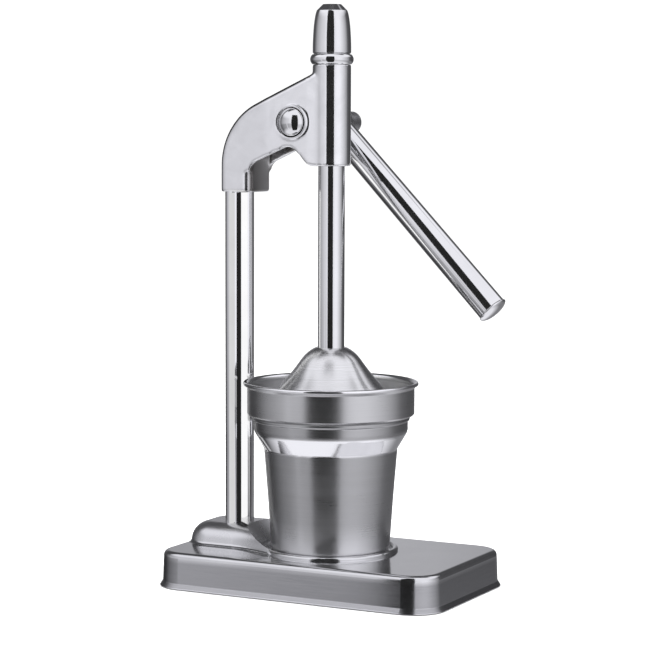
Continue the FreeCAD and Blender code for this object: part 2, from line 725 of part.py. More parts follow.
def gear_wire(y):
    flank = tooth_outline()
    pitch_angle = 2.0 * math.pi / TEETH
    edges = []
    root_half = flank[0][1]
    for tooth in range(TEETH):
        centre = tooth * pitch_angle
        rising = [polar(radius, centre - angle, y) for radius, angle in flank]
        falling = [polar(radius, centre + angle, y) for radius, angle in reversed(flank)]
        root_start = polar(PINION_ROOT, centre - root_half, y)
        root_end = polar(PINION_ROOT, centre + root_half, y)
        next_root = polar(PINION_ROOT, centre + pitch_angle - root_half, y)
        tip_middle = polar(PINION_OUTER, centre, y)
        root_middle = polar(PINION_ROOT, centre + pitch_angle / 2.0, y)
        up_curve = Part.BSplineCurve()
        up_curve.interpolate(rising)
        down_curve = Part.BSplineCurve()
        down_curve.interpolate(falling)
        edges.append(Part.makeLine(root_start, rising[0]))
        edges.append(up_curve.toShape())
        edges.append(Part.Arc(rising[-1], tip_middle, falling[0]).toShape())
        edges.append(down_curve.toShape())
        edges.append(Part.makeLine(falling[-1], root_end))
        edges.append(Part.Arc(root_end, root_middle, next_root).toShape())
    return Part.Wire(edges)


def key_block(grow):
    """Square key lying on top of the shaft, half in the shaft and half in the hub."""
    half = KEY_SIDE / 2.0 + grow
    middle = SHAFT_Z + SHAFT_RADIUS
    return box(SHAFT_X - half, SHAFT_X + half, -KEY_HALF_LENGTH - grow, KEY_HALF_LENGTH + grow,
               middle - half, middle + half)


def make_pinion_gear():
    teeth = Part.Face(gear_wire(-PINION_HALF_WIDTH)).extrude(Vector(0, 2 * PINION_HALF_WIDTH, 0))
    hub = cylinder_y(PINION_HUB_RADIUS, -PINION_HUB_HALF_WIDTH, PINION_HUB_HALF_WIDTH)
    gear = teeth.fuse(hub)
    gear = gear.cut(cylinder_y(SHAFT_RADIUS, -PINION_HUB_HALF_WIDTH - 1, PINION_HUB_HALF_WIDTH + 1))
    return gear.cut(key_block(0.0)).removeSplitter()


def hub_pin_direction():
    angle = math.radians(LEVER_DROP)
    return Vector(math.sin(angle), 0, math.cos(angle))


def make_hub_pin(extra=0.0):
    direction = hub_pin_direction()
    half = HUB_RADIUS - 0.4 + extra
    middle = Vector(SHAFT_X, (HUB_NEAR + HUB_FAR) / 2.0, SHAFT_Z)
    return Part.makeCylinder(HUB_PIN_RADIUS, 2 * half, middle - direction * half, direction)


def make_pinion_shaft():
    shaft = cylinder_y(SHAFT_RADIUS, SHAFT_NEAR, SHAFT_FAR)
    ends = [edge for edge in shaft.Edges if edge.Curve.TypeId == "Part::GeomCircle"]
    shaft = shaft.makeChamfer(0.8, ends)
    return shaft.cut(key_block(0.0)).cut(make_hub_pin(2.0))


def make_thrust_washers():
    near_face = -NUT_RECESS_FLOOR - THRUST_GAP
    far_face = BOSS_FAR + THRUST_GAP
    rings = []
    for near, far in ((near_face - THRUST_THICK, near_face), (far_face, far_face + THRUST_THICK)):
        ring = cylinder_y(THRUST_RADIUS, near, far)
        rings.append(ring.cut(cylinder_y(SHAFT_RADIUS, near - 1, far + 1)))
    return Part.makeCompound(rings)


def make_dome_nut():
    """Low polished dome that closes the near end of the shaft."""
    seat = -(NUT_RECESS_FLOOR + THRUST_GAP + THRUST_THICK)
    flange_face = seat - DOME_FLANGE_THICK
    flange = cylinder_y(DOME_FLANGE_RADIUS, flange_face, seat)
    rim = [edge for edge in flange.Edges if edge.Curve.TypeId == "Part::GeomCircle"
           and abs(edge.CenterOfMass.y - flange_face) < 0.01]
    flange = flange.makeFillet(0.7, rim)
    sphere_radius = (DOME_RADIUS ** 2 + DOME_HEIGHT ** 2) / (2.0 * DOME_HEIGHT)
    centre_y = flange_face - DOME_HEIGHT + sphere_radius
    ball = Part.makeSphere(sphere_radius, Vector(SHAFT_X, centre_y, SHAFT_Z))
    dome = ball.common(cylinder_y(DOME_RADIUS, flange_face - 2 * DOME_HEIGHT, flange_face + 0.5))
    nut = flange.fuse(dome)
    return nut.cut(cylinder_y(SHAFT_RADIUS, SHAFT_NEAR, seat + 1)).removeSplitter()


def make_spacer_sleeve():
    near = BOSS_FAR + THRUST_GAP + THRUST_THICK
    sleeve = cylinder_y(SPACER_RADIUS, near, HUB_NEAR)
    return sleeve.cut(cylinder_y(SHAFT_RADIUS, near - 1, HUB_NEAR + 1))


def make_end_nut():
    """Long plain nut on the far end of the shaft."""
    nut = cylinder_y(END_NUT_RADIUS, HUB_FAR, END_NUT_FAR)
    ends = [edge for edge in nut.Edges if edge.Curve.TypeId == "Part::GeomCircle"
            and abs(edge.CenterOfMass.y - END_NUT_FAR) < 0.01]
    nut = nut.makeFillet(1.2, ends)
    return nut.cut(cylinder_y(SHAFT_RADIUS, HUB_FAR - 1, SHAFT_FAR))


# ---- lever ----
def lever_direction():
    angle = math.radians(LEVER_DROP)
    return Vector(math.cos(angle), 0, -math.sin(angle))


def along_lever(radius_start, radius_end, start, end):
    """Round bar or cone along the lever, measured from the shaft axis."""
    direction = lever_direction()
    origin = Vector(SHAFT_X, (HUB_NEAR + HUB_FAR) / 2.0, SHAFT_Z) + direction * start
    if abs(radius_start - radius_end) < 1e-6:
        return Part.makeCylinder(radius_start, end - start, origin, direction)
    return Part.makeCone(radius_start, radius_end, end - start, origin, direction)


def make_lever_hub():
    eye = cylinder_y(HUB_RADIUS, HUB_NEAR, HUB_FAR)
    rims = [edge for edge in eye.Edges if edge.Curve.TypeId == "Part::GeomCircle"]
    eye = eye.makeFillet(1.0, rims)
    stub = along_lever(STUB_RADIUS, STUB_RADIUS, 2.0, STUB_LENGTH)
    hub = eye.fuse(stub)
    return hub.cut(cylinder_y(SHAFT_RADIUS, HUB_NEAR - 1, HUB_FAR + 1)).cut(make_hub_pin())


def make_lever_tube():
    tube = along_lever(LEVER_ROOT_RADIUS, LEVER_END_RADIUS, 2.0, LEVER_LENGTH - PLUG_THICK)
    near_bore = along_lever(STUB_RADIUS, STUB_RADIUS, 0.0, STUB_LENGTH)
    far_bore = along_lever(STUB_RADIUS, LEVER_END_RADIUS - LEVER_WALL, STUB_LENGTH,
                           LEVER_LENGTH - PLUG_THICK + 0.001)
    tube = tube.cut(near_bore).cut(far_bore)
    return tube.cut(cylinder_y(HUB_RADIUS, HUB_NEAR - 2, HUB_FAR + 2))


def make_lever_end_plug():
    tube_end = LEVER_LENGTH - PLUG_THICK
    head = along_lever(LEVER_END_RADIUS, LEVER_END_RADIUS, tube_end, LEVER_LENGTH)
    far_point = Vector(SHAFT_X, 0, SHAFT_Z) + lever_direction() * LEVER_LENGTH
    rim = [edge for edge in head.Edges if edge.Curve.TypeId == "Part::GeomCircle"
           and abs((edge.CenterOfMass - far_point).dot(lever_direction())) < 0.01]
    head = head.makeFillet(PLUG_ROUND, rim)
    bore = LEVER_END_RADIUS - LEVER_WALL
    spigot = along_lever(bore - 0.15, bore - 0.02, tube_end - PLUG_DEPTH, tube_end)
    return head.fuse(spigot).removeSplitter()


# ---- ram, cap and bell ----
def rack_gap(z):
    """Straight-sided space between two rack teeth, centred on height z."""
    depth = (1.0 + ROOT_FACTOR) * MODULE
    lean = math.tan(math.radians(PRESSURE_ANGLE))
    half_pitch_line = math.pi * MODULE / 4.0
    half_mouth = half_pitch_line + MODULE * lean
    half_floor = half_pitch_line - ROOT_FACTOR * MODULE * lean
    outside = 0.5
    half_outside = half_mouth + outside * lean
    floor = RACK_FLAT + depth
    corners = [
        Vector(RACK_FLAT - outside, -RACK_HALF_WIDTH, z - half_outside),
        Vector(floor, -RACK_HALF_WIDTH, z - half_floor),
        Vector(floor, -RACK_HALF_WIDTH, z + half_floor),
        Vector(RACK_FLAT - outside, -RACK_HALF_WIDTH, z + half_outside),
        Vector(RACK_FLAT - outside, -RACK_HALF_WIDTH, z - half_outside),
    ]
    return Part.Face(Part.makePolygon(corners)).extrude(Vector(0, 2 * RACK_HALF_WIDTH, 0))


def make_ram_rack():
    ram = cylinder_z(RAM_RADIUS, RAM_BOTTOM, RAM_TOP)
    flat = box(-RAM_RADIUS - 1, RACK_FLAT, -RAM_RADIUS, RAM_RADIUS, RACK_LOW, RACK_HIGH)
    ram = ram.cut(flat)
    pitch = math.pi * MODULE
    below = int((SHAFT_Z - RACK_LOW - RACK_END_MARGIN) / pitch)
    above = int((RACK_HIGH - SHAFT_Z - RACK_END_MARGIN) / pitch)
    gaps = [rack_gap(SHAFT_Z + index * pitch) for index in range(-below, above + 1)]
    ram = ram.cut(Part.makeCompound(gaps))
    return ram.cut(cylinder_z(BELL_SCREW_RADIUS, RAM_BOTTOM - 1, BELL_SCREW_TIP))


def make_ram_cap():
    """Bullet-shaped cap with a wide chamfer round a small flat top."""
    side = [(CAP_RADIUS, CAP_LOW + CAP_CHAMFER), *CAP_SIDE]
    outline = [
        *segments([(0, RAM_TOP), (RAM_RADIUS, RAM_TOP), (RAM_RADIUS, CAP_LOW),
                   (CAP_RADIUS - CAP_CHAMFER, CAP_LOW), side[0]]),
        spline([(r, 0, z) for r, z in side]),
        *segments([side[-1], (CAP_FLAT_RADIUS, CAP_TOP), (0, CAP_TOP), (0, RAM_TOP)]),
    ]
    return turned(outline)


def make_press_bell():
    outer = [(BELL_CROWN_RADIUS, RAM_BOTTOM), *BELL_FLANK, (BELL_RIM_RADIUS, BELL_RIM_Z)]
    inner = offset_profile(outer, -BELL_WALL)
    inner = [(BELL_CAVITY_RADIUS, BELL_CROWN_LOW)] + inner[2:]
    rim_out = outer[-1]
    rim_in = inner[-1]
    rim_low = (rim_out[0] - BELL_WALL * 0.75, rim_out[1] - BELL_WALL * 0.75)
    outline = [
        *segments([(BELL_SCREW_RADIUS, RAM_BOTTOM), outer[0]]),
        spline([(r, 0, z) for r, z in outer]),
        Part.Arc(Vector(rim_out[0], 0, rim_out[1]), Vector(rim_low[0], 0, rim_low[1]),
                 Vector(rim_in[0], 0, rim_in[1])).toShape(),
        spline([(r, 0, z) for r, z in reversed(inner)]),
        *segments([inner[0], (BELL_SCREW_RADIUS, BELL_CROWN_LOW),
                   (BELL_SCREW_RADIUS, RAM_BOTTOM)]),
    ]
    return turned(outline)


def make_bell_screw():
    shank = cylinder_z(BELL_SCREW_RADIUS, BELL_CROWN_LOW, BELL_SCREW_TIP)
    head = cylinder_z(BELL_SCREW_HEAD_RADIUS, BELL_SCREW_HEAD_LOW, BELL_CROWN_LOW)
    head = head.makeFillet(0.8, edges_at(head, lambda p: p.z < BELL_SCREW_HEAD_LOW + 0.01))
    socket = hexagon_prism(6.0, BELL_SCREW_HEAD_LOW - 1, BELL_SCREW_HEAD_LOW + 2.6, 0, 0)
    return head.fuse(shank).removeSplitter().cut(socket)


# ---- strainer and cup ----
def perforations():
    drills = []
    for ring_index, ring_radius in enumerate(PERFORATION_RING_RADII):
        for index in range(PERFORATIONS_PER_RING):
            angle = 2.0 * math.pi * (index + 0.5 * (ring_index % 2)) / PERFORATIONS_PER_RING
            drills.append(cylinder_z(PERFORATION_RADIUS, GUTTER_Z, DOME_TOP_Z,
                                     ring_radius * math.cos(angle), ring_radius * math.sin(angle)))
    for index in range(2 * PERFORATIONS_PER_RING):
        angle = math.pi * index / PERFORATIONS_PER_RING
        drills.append(cylinder_z(PERFORATION_RADIUS, GUTTER_Z - 3, GUTTER_Z + 3,
                                 GUTTER_HOLE_RING * math.cos(angle),
                                 GUTTER_HOLE_RING * math.sin(angle)))
    return Part.makeCompound(drills)


def make_strainer_bowl():
    """Pressed bowl: rolled lip, straight band, step that nests in the cup, domed centre."""
    dome = [(0.0, DOME_TOP_Z), *DOME_SIDE, (GUTTER_INNER, GUTTER_Z + SHEET)]
    under = [(0.0, DOME_TOP_Z - SHEET), *DOME_UNDERSIDE, (GUTTER_INNER - 0.6, GUTTER_Z)]
    nest_in = NEST_RADIUS - SHEET
    step_in = BAND_RADIUS - SHEET
    roll_low = LIP_Z - LIP_ROLL
    outline = [
        spline([(r, 0, z) for r, z in dome]),
        *segments([dome[-1], (nest_in - 1.0, GUTTER_Z + SHEET), (nest_in, GUTTER_Z + 2.0),
                   (nest_in, BAND_LOW + SHEET), (step_in - 1.0, BAND_LOW + SHEET),
                   (step_in, BAND_LOW + 2.0), (step_in, roll_low - 3.0)]),
        Part.Arc(Vector(step_in, 0, roll_low - 3.0), Vector(step_in + 0.7, 0, LIP_Z - 0.9),
                 Vector(LIP_RADIUS - LIP_ROLL, 0, LIP_Z)).toShape(),
        Part.Arc(Vector(LIP_RADIUS - LIP_ROLL, 0, LIP_Z), Vector(LIP_RADIUS, 0, roll_low),
                 Vector(LIP_RADIUS - LIP_ROLL, 0, roll_low - LIP_ROLL)).toShape(),
        *segments([(LIP_RADIUS - LIP_ROLL, roll_low - LIP_ROLL), (BAND_RADIUS, roll_low - 3.0),
                   (BAND_RADIUS, BAND_LOW + 1.2), (BAND_RADIUS - 1.2, BAND_LOW),
                   (NEST_RADIUS, BAND_LOW), (NEST_RADIUS, GUTTER_Z + 1.2),
                   (NEST_RADIUS - 1.2, GUTTER_Z), under[-1]]),
        spline([(r, 0, z) for r, z in reversed(under)]),
        *segments([under[0], dome[0]]),
    ]
    return turned(outline).cut(perforations())


def make_juice_cup():
    """Tapered cup with a sloping shoulder, straight neck and rolled rim."""
    cone = [CUP_BODY[-1], *CUP_SHOULDER]
    bend = [CUP_SHOULDER[-1], *CUP_SHOULDER_END]
    inner_cone = [(r - CUP_WALL, z + CUP_CONE_LIFT) for r, z in cone]
    inner_bend = [(r - CUP_WALL, z + CUP_CONE_LIFT) for r, z in bend[:-1]]
    inner_bend.append((CUP_NECK_RADIUS - CUP_WALL, bend[-1][1] + CUP_CONE_LIFT))
    inner_body = [(r - CUP_WALL, z) for r, z in CUP_BODY[:-1]] + [inner_cone[0]]
    floor = CUP_BOTTOM + CUP_WALL
    bead_middle = (CUP_BEAD_LOW + CUP_BEAD_TOP) / 2.0
    outline = [
        *segments([(0, CUP_BOTTOM), *CUP_FOOT, CUP_BODY[0]]),
        spline([(r, 0, z) for r, z in CUP_BODY]),
        *segments(cone),
        spline([(r, 0, z) for r, z in bend]),
        *segments([bend[-1], (CUP_NECK_RADIUS, CUP_BEAD_LOW)]),
        Part.Arc(Vector(CUP_NECK_RADIUS, 0, CUP_BEAD_LOW), Vector(CUP_BEAD_RADIUS, 0, bead_middle),
                 Vector(CUP_NECK_RADIUS, 0, CUP_BEAD_TOP)).toShape(),
        *segments([(CUP_NECK_RADIUS, CUP_BEAD_TOP), (CUP_MOUTH_RADIUS, CUP_BEAD_TOP),
                   (CUP_MOUTH_RADIUS, CUP_BEAD_LOW), inner_bend[-1]]),
        spline([(r, 0, z) for r, z in reversed(inner_bend)]),
        *segments(list(reversed(inner_cone))),
        spline([(r, 0, z) for r, z in reversed(inner_body)]),
        *segments([inner_body[0], (inner_body[0][0] - 1.6, floor), (0, floor), (0, CUP_BOTTOM)]),
    ]
    return turned(outline)


save(make_base_shell(), "base_shell")
save(make_base_plate(), "base_plate")
save(make_anti_slip_pad(), "anti_slip_pad")
save(make_plate_posts(), "plate_posts")
save(make_plate_screws(), "plate_screws")
save(make_column(-1), "column_near")
save(make_column(1), "column_far")
save(make_column_bracket(), "column_bracket")
save(make_column_washers(), "column_washers")
save(make_column_nuts(), "column_nuts")
save(make_head_casting(), "head_casting")
save(make_head_collar(), "head_collar")
save(make_shaft_bushes(), "shaft_bushes")
save(make_pinion_gear(), "pinion_gear")
save(make_pinion_shaft(), "pinion_shaft")
save(key_block(0.0), "pinion_key")
save(make_thrust_washers(), "thrust_washers")
save(make_dome_nut(), "dome_nut")
save(make_spacer_sleeve(), "spacer_sleeve")
save(make_end_nut(), "end_nut")
save(make_lever_hub(), "lever_hub")
save(make_hub_pin(), "hub_pin")
save(make_lever_tube(), "lever_tube")
save(make_lever_end_plug(), "lever_end_plug")
save(make_ram_rack(), "ram_rack")
save(make_ram_cap(), "ram_cap")
save(make_press_bell(), "press_bell")
save(make_bell_screw(), "bell_screw")
save(make_strainer_bowl(), "strainer_bowl")
save(make_juice_cup(), "juice_cup")
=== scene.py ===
# Look of the hand-lever juicer press: polished steel, chrome and cast aluminium in a white studio.
# +X is the front, -Y the side toward the camera, +Z up. Lengths are metres unless a comment says
# millimetres.
import json
import math

import bmesh
import bpy
from mathutils import Matrix, Vector


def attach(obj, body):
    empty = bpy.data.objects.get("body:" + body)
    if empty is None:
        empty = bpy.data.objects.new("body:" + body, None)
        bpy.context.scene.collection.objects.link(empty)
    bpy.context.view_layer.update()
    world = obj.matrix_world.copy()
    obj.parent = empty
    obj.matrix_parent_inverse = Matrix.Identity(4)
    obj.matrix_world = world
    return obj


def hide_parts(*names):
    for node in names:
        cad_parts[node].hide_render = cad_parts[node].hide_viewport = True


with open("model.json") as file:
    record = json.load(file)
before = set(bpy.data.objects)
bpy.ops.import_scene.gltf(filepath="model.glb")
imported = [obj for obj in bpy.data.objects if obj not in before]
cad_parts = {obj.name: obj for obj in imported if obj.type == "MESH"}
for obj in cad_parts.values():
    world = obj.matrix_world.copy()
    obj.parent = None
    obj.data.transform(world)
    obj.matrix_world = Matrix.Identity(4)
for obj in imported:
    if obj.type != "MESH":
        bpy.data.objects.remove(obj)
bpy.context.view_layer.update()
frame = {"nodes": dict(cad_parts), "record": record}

NODES = frame["nodes"]
MM = 0.001

# the azimuth turns from -Y toward +X; angles are degrees, lens and sensor millimetres
CAMERA_PLACE = Vector((0.74819, -1.46133, 0.33401))
CAMERA_AZIMUTH = 27.33
CAMERA_PITCH = 4.95
CAMERA_ROLL = 0.15
CAMERA_LENS = 127.5
CAMERA_SENSOR = 36.0
CAMERA_NEAR = 0.05


# ---------------------------------------------------------------- node helpers
SWING = (0.3, 0.7)             # where most of a noise texture's values lie
WIPE_SWING = (0.35, 0.75)      # the same for hand-wiped marks, which stay low over more of a face
BEVEL_SAMPLES = 4
UNTOUCHED = 0.995              # cosine to the rounded-over normal from which a face is open
ARRIS_REACH = 0.3              # and how far under it the edge wear and painted highlight are full
QUARTER_TURN = 0.25            # turns a highlight across the rings of turned metal
MIX_COLOURS = (6, 7)           # inputs of a Mix node that take its two colours
MIX_RESULT = 2                 # and the output that gives the mixed one
SOCKETS = {"metallic": "Metallic", "roughness": "Roughness", "anisotropic": "Anisotropic",
           "rotation": "Anisotropic Rotation", "colour": "Base Color"}


def grey(tone, blue=0.0):
    """Neutral colour with a little blue added."""
    return (tone, tone, tone + blue)


def add_object(name, data):
    made = bpy.data.objects.new(name, data)
    bpy.context.collection.objects.link(made)
    return made


def mesh_from(name, build):
    """Mesh made of a bmesh, which is freed."""
    mesh = bpy.data.meshes.new(name)
    build.to_mesh(mesh)
    build.free()
    return mesh


class Shader:
    """One material and short ways to add nodes to it."""

    def __init__(self, name):
        self.material = bpy.data.materials.new(name)
        self.material.use_nodes = True
        self.tree = self.material.node_tree
        self.principled = self.tree.nodes["Principled BSDF"]
        self.coords = self.add("ShaderNodeTexCoord").outputs["Object"]

    def add(self, kind, **settings):
        node = self.tree.nodes.new(kind)
        for key, value in settings.items():
            setattr(node, key, value)
        return node

    def link(self, source, target):
        self.tree.links.new(source, target)

    def noise(self, scale=1.0, detail=4.0, stretch=(1, 1, 1), rough=0.55, distortion=0.0):
        """Noise with scale times stretch features to the metre along each axis."""
        mapping = self.add("ShaderNodeMapping")
        mapping.inputs["Scale"].default_value = stretch
        self.link(self.coords, mapping.inputs["Vector"])
        node = self.add("ShaderNodeTexNoise")
        node.inputs["Scale"].default_value = scale
        node.inputs["Detail"].default_value = detail
        node.inputs["Roughness"].default_value = rough
        node.inputs["Distortion"].default_value = distortion
        self.link(mapping.outputs["Vector"], node.inputs["Vector"])
        return node.outputs["Fac"]

    def ramp(self, source, stops):
        """Colour ramp through stops of (place, colour)."""
        node = self.add("ShaderNodeValToRGB")
        elements = node.color_ramp.elements
        while len(elements) < len(stops):
            elements.new(0.5)
        for element, (place, colour) in zip(elements, stops):
            element.position = place
            element.color = (*colour, 1.0)
        self.link(source, node.inputs["Fac"])
        return node.outputs["Color"]

    def tones(self, source, low, high, swing=SWING):
        """Colour that follows a noise from low to high."""
        return self.ramp(source, list(zip(swing, (low, high))))

    def remap(self, source, low, high, to_low, to_high):
        node = self.add("ShaderNodeMapRange")
        values = (low, high, to_low, to_high)
        for key, value in zip(("From Min", "From Max", "To Min", "To Max"), values):
            node.inputs[key].default_value = value
        self.link(source, node.inputs["Value"])
        return node.outputs["Result"]

    def follow(self, source, to_low, to_high, swing=SWING):
        """Value that follows a noise from to_low to to_high."""
        return self.remap(source, *swing, to_low, to_high)

    def step(self, source, start, end, height=1.0):
        """Nothing before start, height past end; end may be the lower of the two."""
        return self.remap(source, start, end, 0.0, height)

    def calc(self, operation, first, second=0.0):
        node = self.add("ShaderNodeMath", operation=operation)
        for index, value in enumerate((first, second)):
            if isinstance(value, (int, float)):
                node.inputs[index].default_value = value
            else:
                self.link(value, node.inputs[index])
        return node.outputs["Value"]

    def total(self, first, second):
        return self.calc("ADD", first, second)

    def product(self, first, *others):
        for other in others:
            first = self.calc("MULTIPLY", first, other)
        return first

    def either(self, first, second):
        return self.calc("MAXIMUM", first, second)

    def opposite(self, mask):
        return self.calc("SUBTRACT", 1.0, mask)

    def mix(self, factor, first, second):
        node = self.add("ShaderNodeMix", data_type="RGBA")
        self.link(factor, node.inputs["Factor"])
        for index, value in zip(MIX_COLOURS, (first, second)):
            if isinstance(value, tuple):
                node.inputs[index].default_value = (*value, 1.0)
            else:
                self.link(value, node.inputs[index])
        return node.outputs[MIX_RESULT]

    def axis(self, name, source=None):
        node = self.add("ShaderNodeSeparateXYZ")
        self.link(source or self.coords, node.inputs["Vector"])
        return node.outputs[name]

    def surface_dot(self, direction):
        """Cosine between the surface's normal and a direction, fixed or from a socket."""
        node = self.add("ShaderNodeVectorMath", operation="DOT_PRODUCT")
        self.link(self.add("ShaderNodeNewGeometry").outputs["Normal"], node.inputs[0])
        if isinstance(direction, tuple):
            node.inputs[1].default_value = direction
        else:
            self.link(direction, node.inputs[1])
        return node.outputs["Value"]

    def worn_highlit_edge(self, radius):
        """Mask for edge wear and painted highlight: one along arrises and folds, nothing on open
        faces.
        """
        round_over = self.add("ShaderNodeBevel", samples=BEVEL_SAMPLES)
        round_over.inputs["Radius"].default_value = radius
        return self.step(self.surface_dot(round_over.outputs["Normal"]),
                         UNTOUCHED, UNTOUCHED - ARRIS_REACH)

    def facing(self, direction, low, high):
        """One where the cosine to the direction is over high, nothing where it is under low."""
        return self.step(self.surface_dot(direction), low, high)

    def facing_sides(self, low, high):
        """The same for either side, -Y or +Y."""
        return self.either(self.facing((0, -1, 0), low, high), self.facing((0, 1, 0), low, high))

    def bump(self, height, strength, distance):
        node = self.add("ShaderNodeBump")
        node.inputs["Strength"].default_value = strength
        node.inputs["Distance"].default_value = distance
        self.link(height, node.inputs["Height"])
        self.link(node.outputs["Normal"], self.principled.inputs["Normal"])

    def set(self, **values):
        for key, value in values.items():
            socket = self.principled.inputs[SOCKETS[key]]
            if isinstance(value, bpy.types.NodeSocket):
                self.link(value, socket)
            elif isinstance(value, tuple):
                socket.default_value = (*value, 1.0)
            else:
                socket.default_value = value

    def turned(self, spin):
        """Highlights drawn out across rings round the upright axis."""
        self.set(anisotropic=spin, rotation=QUARTER_TURN)
        node = self.add("ShaderNodeTangent", direction_type="RADIAL", axis="Z")
        self.link(node.outputs["Tangent"], self.principled.inputs["Tangent"])

    def show(self, shader):
        """The given shader in place of the principled one."""
        self.tree.nodes.remove(self.principled)
        self.link(shader, self.tree.nodes["Material Output"].inputs["Surface"])

# ---------------------------------------------------------------- materials
# Noise scales are features to the metre, bump depths are metres. A pair of colours or roughnesses
# is the low and the high end of what a noise sweeps through.
SPIN = 0.45                                # how far turned metal draws its highlights out

CHROME_WIPE = 38.0
CHROME_LINES = 900.0
CHROME_CONTRAST = 0.03
CHROME_ROUGHNESS = (0.045, 0.095)
CHROME_LINE_ROUGHNESS = (0.0, 0.02)
CHROME_BUMP = (0.012, 0.2 * MM)
DRAWN_UPRIGHT = (1, 1, 0.02)               # drawing lines along Z
DRAWN_LEVER = (0.02, 1, 0.02)              # and in the plane that the lever swings in


def chrome(name, tone=0.80, grain=(1, 1, 1)):
    """Mirror plating with faint wipe marks and slight drawing lines."""
    s = Shader(name)
    wipe = s.noise(CHROME_WIPE, detail=6.0)
    lines = s.noise(CHROME_LINES, detail=3.0, stretch=grain)
    low, high = grey(tone - CHROME_CONTRAST, 0.006), grey(tone + CHROME_CONTRAST, 0.008)
    s.set(metallic=1.0, colour=s.tones(wipe, low, high),
          roughness=s.total(s.follow(wipe, *CHROME_ROUGHNESS, WIPE_SWING),
                            s.follow(lines, *CHROME_LINE_ROUGHNESS)))
    s.bump(lines, *CHROME_BUMP)
    return s.material


BRUSH_LINES = (30, 30, 2600)
BRUSH_BANDS = (5, 5, 160)
LINES_SHARE, BANDS_SHARE = 0.6, 0.4
BRUSH_CLOUD = 26.0
BRUSH_CONTRAST = 0.035
BRUSH_ROUGHNESS = (0.27, 0.34)
CLOUD_ROUGHNESS = (-0.04, 0.05)
BRUSH_EDGE_REACH = 0.9 * MM
BRUSH_BUMP = (0.035, 0.12 * MM)
# painted highlight: the colour that the polished band and the worn edges are brightened to
BAND_HIGHLIGHT_COLOUR = grey(0.93, 0.01)
BAND_ROUGHNESS = 0.35                      # share of the roughness that a bright band keeps
CUP_FOOT = (0.052, 0.029, 0.75)            # heights between which the foot brightens, and how far
FOOT_COLOUR = grey(0.95, 0.01)
CUP_SHOULDER = (0.0995, 0.1135, 0.0012)    # polished band, brightened as painted highlight: its heights, and how softly it ends
BOWL_RIM = (0.1472, 0.1530, 0.0008)


def brushed(name, tone, polished):
    """Stainless sheet brushed round its axis; one band of heights is polished, and it and the worn
    edges are brightened as painted highlight.
    """
    s = Shader(name)
    fine = s.noise(stretch=BRUSH_LINES, rough=0.7)
    bands = s.noise(detail=2.0, stretch=BRUSH_BANDS, rough=0.5)
    cloud = s.noise(BRUSH_CLOUD, detail=5.0)
    streaks = s.total(s.product(fine, LINES_SHARE), s.product(bands, BANDS_SHARE))
    steel = s.tones(streaks, grey(tone - BRUSH_CONTRAST), grey(tone + BRUSH_CONTRAST, 0.006))
    dull = s.total(s.follow(streaks, *BRUSH_ROUGHNESS), s.follow(cloud, *CLOUD_ROUGHNESS))
    height = s.axis("Z")
    steel = s.mix(s.step(height, *CUP_FOOT), steel, FOOT_COLOUR)
    low, high, fade = polished
    band = s.product(s.step(height, low, low + fade), s.step(height, high, high - fade))
    # polish and wear with a painted highlight: the band and the worn edges get a brighter colour
    # and less roughness
    bright = s.either(s.worn_highlit_edge(BRUSH_EDGE_REACH), band)
    s.set(metallic=1.0, colour=s.mix(bright, steel, BAND_HIGHLIGHT_COLOUR),
          roughness=s.product(dull, s.remap(bright, 0.0, 1.0, 1.0, BAND_ROUGHNESS)))
    s.turned(SPIN)
    s.bump(streaks, *BRUSH_BUMP)
    return s.material


TOP_WIPE = 26.0
TOP_TONES = (grey(0.66, 0.01), grey(0.74, 0.01))
TOP_ROUGHNESS = (0.09, 0.16)
SKIRT_EDGE = (0.0225, 0.0195)              # heights between which the top gives way to the skirt
SKIRT_LINES = (40, 40, 2600)
SKIRT_TONES = (grey(0.41, 0.01), grey(0.48, 0.01))
SKIRT_ROUGHNESS = (0.15, 0.24)
HUMP_HEIGHT = (0.0270, 0.0300)
HUMP_FRONT = (-0.035, -0.050)
HUMP_SATIN = 0.16                          # roughness that the hump has over the top's
# worn edges of the pressed base, brightened as painted highlight
PRESSED_EDGE_REACH = 1.2 * MM
PRESSED_WORN_HIGHLIGHT = grey(0.88, 0.01)
SKIRT_BUMP = (0.05, 0.2 * MM)


def base_steel(name):
    """Pressed base: polished top with worn edges brightened as painted highlight, a satin hump, and
    a duller drawn skirt.
    """
    s = Shader(name)
    height = s.axis("Z")
    skirt = s.step(height, *SKIRT_EDGE)
    wipe = s.noise(TOP_WIPE, detail=6.0)
    grain = s.noise(stretch=SKIRT_LINES, rough=0.7)
    steel = s.mix(skirt, s.tones(wipe, *TOP_TONES), s.tones(grain, *SKIRT_TONES))
    hump = s.product(s.step(height, *HUMP_HEIGHT), s.step(s.axis("X"), *HUMP_FRONT))
    polish = s.product(s.opposite(skirt), s.follow(wipe, *TOP_ROUGHNESS, WIPE_SWING))
    satin = s.total(s.product(skirt, s.follow(grain, *SKIRT_ROUGHNESS)),
                    s.product(hump, HUMP_SATIN))
    # the worn edges brightened as painted highlight
    s.set(metallic=1.0, colour=s.mix(s.worn_highlit_edge(PRESSED_EDGE_REACH), steel, PRESSED_WORN_HIGHLIGHT),
          roughness=s.total(polish, satin))
    s.bump(grain, *SKIRT_BUMP)
    return s.material


# Places along X, except for CHEEK_INSIDE and BLOCK_SIDES, which lie along Y. The FACING pairs are
# cosines: the face counts in part over the first and in full over the second.
CHEEK_INSIDE = (0.0129, 0.0126)
CHEEK_FACING = (0.80, 0.93)
ARCH_REAR = (-0.0585, -0.0580)
ARCH_FRONT = (-0.0105, -0.0112)
